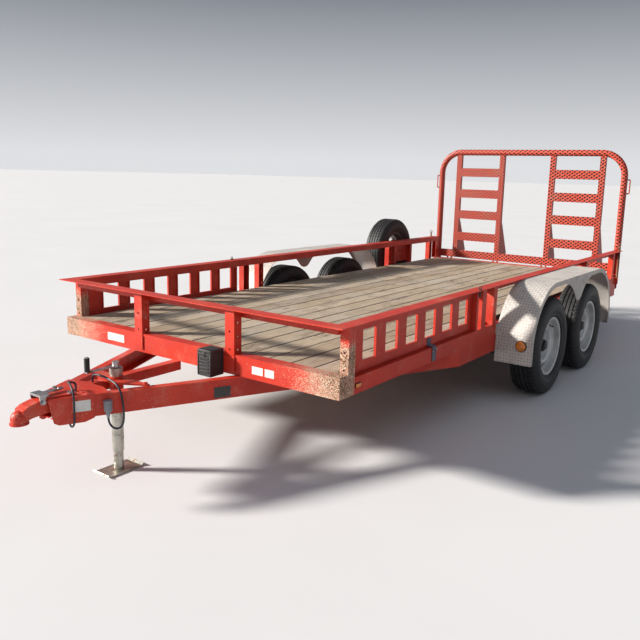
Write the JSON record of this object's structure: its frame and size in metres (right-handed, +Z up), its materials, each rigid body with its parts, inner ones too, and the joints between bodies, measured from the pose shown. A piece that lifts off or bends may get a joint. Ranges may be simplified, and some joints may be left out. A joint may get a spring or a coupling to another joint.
{
  "type": "utility trailer",
  "caption": "Open utility trailer with tandem axles, plank deck, low side rails with stored ramps, a fold-down rear ramp gate, A-frame tongue, coupler, crank jack and a side spare wheel.",
  "frame": {"origin": "centre of the bounding box at ground level, under the bed between the tongue and the gate", "axes": "+Y towards the rear gate, -Y towards the tongue, +X to the trailer's left (near) side, +Z up"},
  "size_m": [2.59, 6.094, 1.806],
  "materials": {
    "red_paint": "worn semi-gloss red paint with chips",
    "zinc_steel": "dull zinc plated steel",
    "jack_steel": "zinc plated tube with rust stains",
    "deck_wood": "weathered grey-brown treated boards",
    "treadplate": "bright treadplate",
    "amber_lens": "ribbed amber lens in a black grommet",
    "red_lens": "ribbed red lens",
    "black_paint": "satin black, dusty",
    "tyre_rubber": "dark rubber with moulded tread",
    "rim_silver": "silver paint",
    "black_plastic": "matt black moulding",
    "plug_plastic": "grey moulding",
    "cable_jacket": "satin black jacket",
    "webbing": "woven dark webbing"
  },
  "bodies": {
    "trailer_frame": {"front_header": "red_paint", "side_rails": "red_paint", "rear_crossmember": "red_paint", "crossmembers": "red_paint", "main_rails": "red_paint", "tongue_rails": "red_paint", "center_tube": "red_paint", "nose_plates": "red_paint", "coupler_body": "red_paint", "coupler_bolts": "zinc_steel", "jack_mount": "red_paint", "jack_tube": "jack_steel", "deck_boards": "deck_wood", "front_rail": "red_paint", "side_top_rails": "red_paint", "front_posts": "red_paint", "side_posts": "red_paint", "fender_left": "treadplate", "fender_right": "treadplate", "marker_lights": "amber_lens", "tail_lights": "red_lens", "axle_beams": "black_paint", "leaf_springs": "black_paint", "spring_hangers": "black_paint", "spare_tyre": "tyre_rubber", "spare_rim": "rim_silver", "spare_mount": "red_paint", "latch_guides": "red_paint", "battery_box": "black_plastic", "safety_cable": "cable_jacket", "trailer_cable": "cable_jacket", "trailer_plug": "plug_plastic"},
    "wheel_front_left": {"tyre_front_left": "tyre_rubber", "rim_front_left": "rim_silver", "hub_front_left": "black_paint"},
    "wheel_front_right": {"tyre_front_right": "tyre_rubber", "rim_front_right": "rim_silver", "hub_front_right": "black_paint"},
    "wheel_rear_left": {"tyre_rear_left": "tyre_rubber", "rim_rear_left": "rim_silver", "hub_rear_left": "black_paint"},
    "wheel_rear_right": {"tyre_rear_right": "tyre_rubber", "rim_rear_right": "rim_silver", "hub_rear_right": "black_paint"},
    "gate": {"gate_frame": "red_paint", "gate_ladders": "red_paint", "gate_gussets": "red_paint", "gate_hinges": "red_paint"},
    "jack_ram": {"jack_ram": "jack_steel"},
    "jack_crank": {"jack_crank": "zinc_steel"},
    "jack_grip": {"jack_grip": "black_plastic"},
    "coupler_latch": {"coupler_latch": "zinc_steel"},
    "side_ramp_left": {"side_ramp_left": "red_paint", "ramp_strap": "webbing"},
    "ramp_pin_left": {"ramp_pin_left": "black_paint"},
    "gate_latch_left": {"gate_latch_left": "zinc_steel"},
    "side_ramp_right": {"side_ramp_right": "red_paint"},
    "ramp_pin_right": {"ramp_pin_right": "black_paint"},
    "gate_latch_right": {"gate_latch_right": "zinc_steel"}
  },
  "joints": [
    {"name": "wheel_front_left_spin", "type": "hinge", "parent": "trailer_frame", "child": "wheel_front_left", "pos_m": [1.1735, 0.221, 0.344], "axis": [1, 0, 0], "continuous": true},
    {"name": "wheel_front_right_spin", "type": "hinge", "parent": "trailer_frame", "child": "wheel_front_right", "pos_m": [-1.1735, 0.221, 0.344], "axis": [1, 0, 0], "continuous": true},
    {"name": "wheel_rear_left_spin", "type": "hinge", "parent": "trailer_frame", "child": "wheel_rear_left", "pos_m": [1.1735, 1.1, 0.344], "axis": [1, 0, 0], "continuous": true},
    {"name": "wheel_rear_right_spin", "type": "hinge", "parent": "trailer_frame", "child": "wheel_rear_right", "pos_m": [-1.1735, 1.1, 0.344], "axis": [1, 0, 0], "continuous": true},
    {"name": "gate_fold", "type": "hinge", "parent": "trailer_frame", "child": "gate", "pos_m": [0, 2.852, 0.515], "axis": [-1, 0, 0], "range_deg": [0, 112]},
    {"name": "jack_crank_turn", "type": "hinge", "parent": "trailer_frame", "child": "jack_crank", "pos_m": [0, -2.493, 0.54], "axis": [0, 0, 1], "range_deg": [0, 2700]},
    {"name": "jack_lift", "type": "slide", "parent": "trailer_frame", "child": "jack_ram", "axis": [0, 0, 1], "range_m": [0, 0.09]},
    {"name": "jack_grip_spin", "type": "hinge", "parent": "jack_crank", "child": "jack_grip", "pos_m": [0, -2.655, 0.58], "axis": [0, 0, 1], "continuous": true},
    {"name": "coupler_latch_lift", "type": "hinge", "parent": "trailer_frame", "child": "coupler_latch", "pos_m": [0, -2.91, 0.466], "axis": [1, 0, 0], "range_deg": [0, 40]},
    {"name": "side_ramp_left_pull", "type": "slide", "parent": "trailer_frame", "child": "side_ramp_left", "axis": [1, 0, 0], "range_m": [0, 0.35]},
    {"name": "ramp_pin_left_lift", "type": "slide", "parent": "trailer_frame", "child": "ramp_pin_left", "axis": [0, 0, 1], "range_m": [0, 0.06]},
    {"name": "gate_latch_left_lift", "type": "slide", "parent": "trailer_frame", "child": "gate_latch_left", "axis": [0, 0, 1], "range_m": [0, 0.04], "stiffness_N_per_m": 600, "springref_m": -0.02},
    {"name": "side_ramp_right_pull", "type": "slide", "parent": "trailer_frame", "child": "side_ramp_right", "axis": [-1, 0, 0], "range_m": [0, 0.35]},
    {"name": "ramp_pin_right_lift", "type": "slide", "parent": "trailer_frame", "child": "ramp_pin_right", "axis": [0, 0, 1], "range_m": [0, 0.06]},
    {"name": "gate_latch_right_lift", "type": "slide", "parent": "trailer_frame", "child": "gate_latch_right", "axis": [0, 0, 1], "range_m": [0, 0.04], "stiffness_N_per_m": 600, "springref_m": -0.02}
  ],
  "couplings": [
    {"joint": "jack_lift", "follows": "jack_crank_turn", "m_per_rad": 0.0019}
  ]
}
